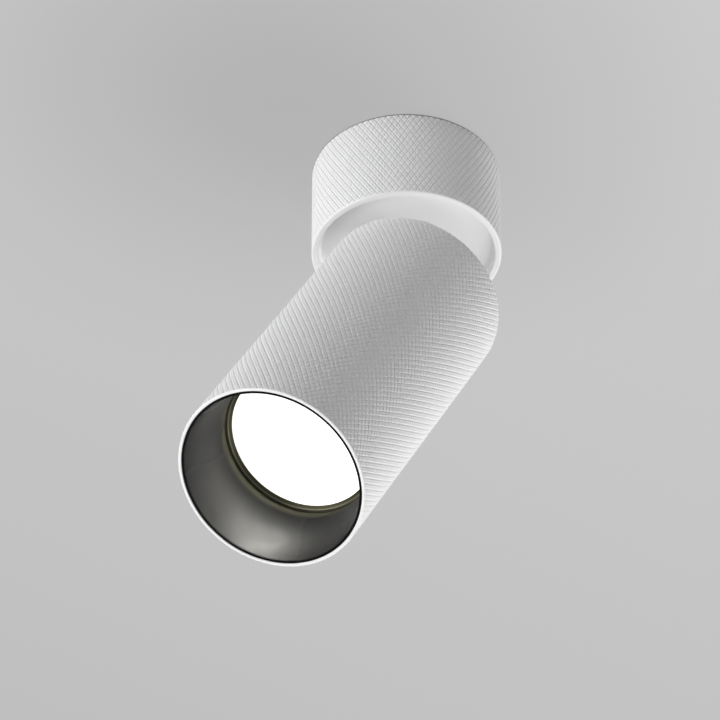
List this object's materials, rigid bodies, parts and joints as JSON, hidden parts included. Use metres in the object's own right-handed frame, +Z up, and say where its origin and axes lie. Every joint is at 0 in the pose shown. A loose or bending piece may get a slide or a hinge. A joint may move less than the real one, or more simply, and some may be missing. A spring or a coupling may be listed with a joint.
{
  "type": "adjustable ceiling spotlight",
  "caption": "Round surface-mounted ceiling spotlight with a knurled tube head that swivels and tilts on a hidden knuckle.",
  "frame": {"origin": "centre of the base at the ceiling plane", "axes": "+Z up into the ceiling along the base's axis; the head leans towards -Y; the tilt axis lies along X"},
  "size_m": [0.06, 0.1133, 0.1698],
  "materials": {
    "white_paint": "fine-textured matt white",
    "zinc_plated_steel": "zinc plated",
    "brass": "machined",
    "black_rubber": "matt",
    "white_nylon": "moulded",
    "lamp_plastic": "moulded",
    "diffuser": "frosted, lit",
    "holder_ceramic": "unglazed",
    "black_satin": "satin black",
    "glass_fibre_sleeve": "woven",
    "brown_pvc": "satin",
    "blue_pvc": "satin",
    "green_pvc": "satin"
  },
  "bodies": {
    "base": {"base_cup": "white_paint", "mounting_plate": "zinc_plated_steel", "cable_grommet": "black_rubber", "terminal_block": "white_nylon", "terminal_sleeves": "brass", "terminal_screws": "zinc_plated_steel", "block_screws": "zinc_plated_steel", "earth_screw": "brass", "earth_tag": "zinc_plated_steel", "live_lead": "brown_pvc", "neutral_lead": "blue_pvc", "earth_lead": "green_pvc", "swivel_bush": "white_nylon", "stop_pin": "zinc_plated_steel", "swivel_washer": "zinc_plated_steel"},
    "swivel": {"turntable_disc": "white_paint", "neck": "white_paint", "stop_washer": "zinc_plated_steel", "neck_nut": "brass", "neck_sleeve": "glass_fibre_sleeve"},
    "head": {"head_tube": "white_paint", "rear_cap": "white_paint", "hinge_pins": "zinc_plated_steel", "friction_washers": "white_nylon", "lampholder_bracket": "zinc_plated_steel", "bracket_screws": "zinc_plated_steel", "lampholder": "holder_ceramic", "lampholder_screws": "zinc_plated_steel", "head_sleeve": "glass_fibre_sleeve", "head_live_lead": "brown_pvc", "head_neutral_lead": "blue_pvc", "lamp_body": "lamp_plastic", "lamp_lens": "diffuser", "lamp_pins": "zinc_plated_steel", "baffle": "black_satin", "baffle_springs": "zinc_plated_steel", "lamp_clip": "zinc_plated_steel"}
  },
  "joints": [
    {"name": "swivel", "type": "hinge", "parent": "base", "child": "swivel", "pos_m": [0, 0, 0], "axis": [0, 0, 1], "range_deg": [-170, 170]},
    {"name": "tilt", "type": "hinge", "parent": "swivel", "child": "head", "pos_m": [0, 0, -0.05434], "axis": [1, 0, 0], "range_deg": [-15, 75]}
  ]
}
